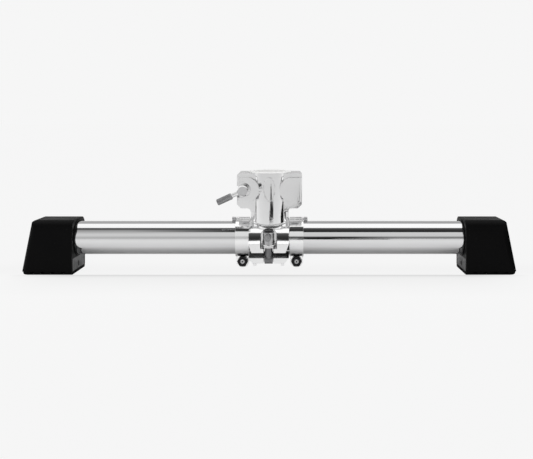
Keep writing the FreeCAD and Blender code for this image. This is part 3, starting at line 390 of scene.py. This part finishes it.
def floor_ramp(axis, start, end, stops):
    """Grey ramp along the floor between two places, through (place, grey) stops."""
    scaled = nodes.new("ShaderNodeMapRange")
    scaled.inputs["From Min"].default_value = start
    scaled.inputs["From Max"].default_value = end
    links.new(apart.outputs[axis], scaled.inputs["Value"])
    return ramp(scaled.outputs["Result"],
                [((at - start) / (end - start), grey) for at, grey in stops])


# The paper's colour holds painted shade: it is a little darker far in front, with a painted shadow
# band under the tube that mirrored rays see. Its glow holds a painted shadow of the slider that ends
# in a soft line along its front.
away = floor_ramp("Y", axis_y - 0.9, axis_y + 0.1, (
    (axis_y - 0.9, 0.74), (axis_y - 0.35, 0.84), (axis_y - 0.12, 0.97), (axis_y - 0.035, 0.97),
    (axis_y - 0.012, 0.62), (axis_y + 0.012, 0.45), (axis_y + 0.05, 0.8)))
links.new(away, chalk.inputs["Color"])
front = tube_low.y - 0.0088
shadow_line_y = floor_ramp("Y", front - 0.1, front + 0.02, (
    (front - 0.1, 0.0), (front - 0.055, 0.1), (front - 0.016, 0.24), (front - 0.005, 0.42),
    (front - 0.0015, 1.0), (front + 0.0025, 0.75), (front + 0.006, 0.0)))
shadow_line_x = floor_ramp("X", cad_low.x - 0.02, cad_high.x + 0.02, (
    (cad_low.x - 0.015, 0.0), (cad_low.x + 0.05, 1.0),
    (cad_high.x - 0.05, 1.0), (cad_high.x + 0.015, 0.0)))
shade = nodes.new("ShaderNodeMath")
shade.operation = "MULTIPLY"
links.new(shadow_line_y, shade.inputs[0])
links.new(shadow_line_x, shade.inputs[1])
# Painted shadow: the glow's colour greys towards the soft line along the slider's front.
painted_shadow_tint = nodes.new("ShaderNodeMix")
painted_shadow_tint.data_type = "RGBA"
painted_shadow_tint.inputs["A"].default_value = (pale * 1.005, pale * 1.005, pale * 1.005, 1.0)
painted_shadow_tint.inputs["B"].default_value = (0.70, 0.70, 0.70, 1.0)
links.new(shade.outputs[0], painted_shadow_tint.inputs["Factor"])
links.new(painted_shadow_tint.outputs["Result"], glow.inputs["Color"])
links.new(ray.outputs["Is Camera Ray"], share.inputs[0])
links.new(share.outputs[0], lift.inputs["Fac"])
links.new(chalk.outputs[0], lift.inputs[1])
links.new(glow.outputs[0], lift.inputs[2])
links.new(lift.outputs[0], nodes["Material Output"].inputs["Surface"])
sweep.materials.append(paper)

# Two dark cards that the chrome mirrors: a low one in front with a short post, and one beyond the
# right foot that falls away towards the front. Only mirrored rays see them.
flag_y = axis_y - 0.455
card_x = cad_high.x + 0.022
outlines = {
    "dark_flag": [(-0.010, flag_y, 0.0), (0.19, flag_y, 0.0), (0.19, flag_y, 0.030),
                  (0.10, flag_y, 0.034), (0.085, flag_y, 0.062), (0.050, flag_y, 0.062),
                  (0.035, flag_y, 0.034), (0.033, flag_y, 0.020), (-0.010, flag_y, 0.016)],
    "dark_card": [(card_x, -0.105, 0.0), (card_x, 0.135, 0.0), (card_x, 0.135, 0.075),
                  (card_x, 0.040, 0.070), (card_x, -0.030, 0.050), (card_x, -0.105, 0.026)],
}
felt = bpy.data.materials.new("black_felt")
felt.use_nodes = True
shader = felt.node_tree.nodes["Principled BSDF"]
shader.inputs["Base Color"].default_value = (0.01, 0.01, 0.01, 1.0)
shader.inputs["Roughness"].default_value = 1.0
shader.inputs["Specular IOR Level"].default_value = 0.0
cards = []
for name, corners in outlines.items():
    sheet = bpy.data.meshes.new(name)
    sheet.from_pydata(corners, [], [tuple(range(len(corners)))])
    sheet.materials.append(felt)
    card = bpy.data.objects.new(name, sheet)
    bpy.context.scene.collection.objects.link(card)
    card.visible_camera = card.visible_diffuse = card.visible_shadow = False
    cards.append(card)
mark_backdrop(floor, *cards)

world = bpy.data.worlds.new("studio")
bpy.context.scene.world = world
world.use_nodes = True
nodes, links = world.node_tree.nodes, world.node_tree.links
place = nodes.new("ShaderNodeTexCoord")
split = nodes.new("ShaderNodeSeparateXYZ")
links.new(place.outputs["Generated"], split.inputs["Vector"])


def calculate(operation, first, second=None):
    """Math node on sockets or plain numbers."""
    node = nodes.new("ShaderNodeMath")
    node.operation = operation
    for socket, value in zip(node.inputs, (first, second)):
        if isinstance(value, (int, float)):
            socket.default_value = value
        elif value is not None:
            links.new(value, socket)
    return node.outputs[0]


# Height round the object from the camera's side (0) over the top (90) to the far side (180).
to_front = calculate("MULTIPLY", split.outputs["Y"], -1.0)
height = calculate("DIVIDE", calculate("ARCTAN2", split.outputs["Z"], to_front), math.pi)
right_strips = ramp(height, [(at / 180, grey) for at, grey in (
    (0, 0.80), (15, 0.74), (43, 0.80), (46.5, 0.025), (60, 0.04), (76, 0.11), (80, 1.28),
    (118, 1.28), (123, 0.42), (150, 0.52), (180, 0.6))])
left_strips = ramp(height, [(at / 180, grey) for at, grey in (
    (0, 0.72), (30, 0.78), (48, 0.5), (62, 0.3), (66, 0.06), (76, 0.13), (80, 1.2),
    (116, 1.28), (122, 0.46), (150, 0.52), (180, 0.6))])
line = ramp(height, [(at / 180, grey) for at, grey in ((0, 0.6), (1.5, 1.0), (12.5, 1.0), (17, 0.0))])
weight = ramp(calculate("ADD", split.outputs["X"], 0.5), (
    (0.2, 0.2), (0.45, 0.3), (0.485, 0.95), (0.57, 0.97), (0.63, 0.62), (0.85, 0.7)))
leftness = ramp(calculate("ADD", split.outputs["X"], 0.5), ((0.28, 1.0), (0.42, 0.0)))
strips_mix = nodes.new("ShaderNodeMix")
strips_mix.data_type = "RGBA"
links.new(leftness, strips_mix.inputs["Factor"])
links.new(right_strips, strips_mix.inputs["A"])
links.new(left_strips, strips_mix.inputs["B"])
strips = strips_mix.outputs["Result"]
shade = nodes.new("ShaderNodeMix")
shade.data_type = "RGBA"
links.new(calculate("MULTIPLY", line, weight), shade.inputs["Factor"])
links.new(strips, shade.inputs["A"])
shade.inputs["B"].default_value = (0.01, 0.01, 0.01, 1.0)
ray = nodes.new("ShaderNodeLightPath")
soft = nodes.new("ShaderNodeMix")
soft.data_type = "RGBA"
links.new(ray.outputs["Is Diffuse Ray"], soft.inputs["Factor"])
links.new(shade.outputs["Result"], soft.inputs["A"])
soft.inputs["B"].default_value = (1.0, 1.0, 1.0, 1.0)
seen = nodes.new("ShaderNodeMix")
seen.data_type = "RGBA"
links.new(ray.outputs["Is Camera Ray"], seen.inputs["Factor"])
links.new(soft.outputs["Result"], seen.inputs["A"])
seen.inputs["B"].default_value = (pale, pale, pale, 1.0)
links.new(seen.outputs["Result"], nodes["Background"].inputs["Color"])

bpy.context.scene.view_settings.view_transform = "Standard"

# The camera stands level in front of the tube, a little right of the post, and looks down on it
# through its shift.
lens = bpy.data.cameras.new("camera")
lens.lens = 50.0
lens.sensor_width = 36.0
lens.shift_x = -0.0600
lens.shift_y = -0.2045
lens.clip_start = 0.01
camera = bpy.data.objects.new("camera", lens)
camera.location = (0.0332, axis_y - 0.860, 0.1743)
camera.rotation_euler = (math.radians(90), 0.0, 0.0)
bpy.context.scene.collection.objects.link(camera)
bpy.context.scene.camera = camera

low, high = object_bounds()
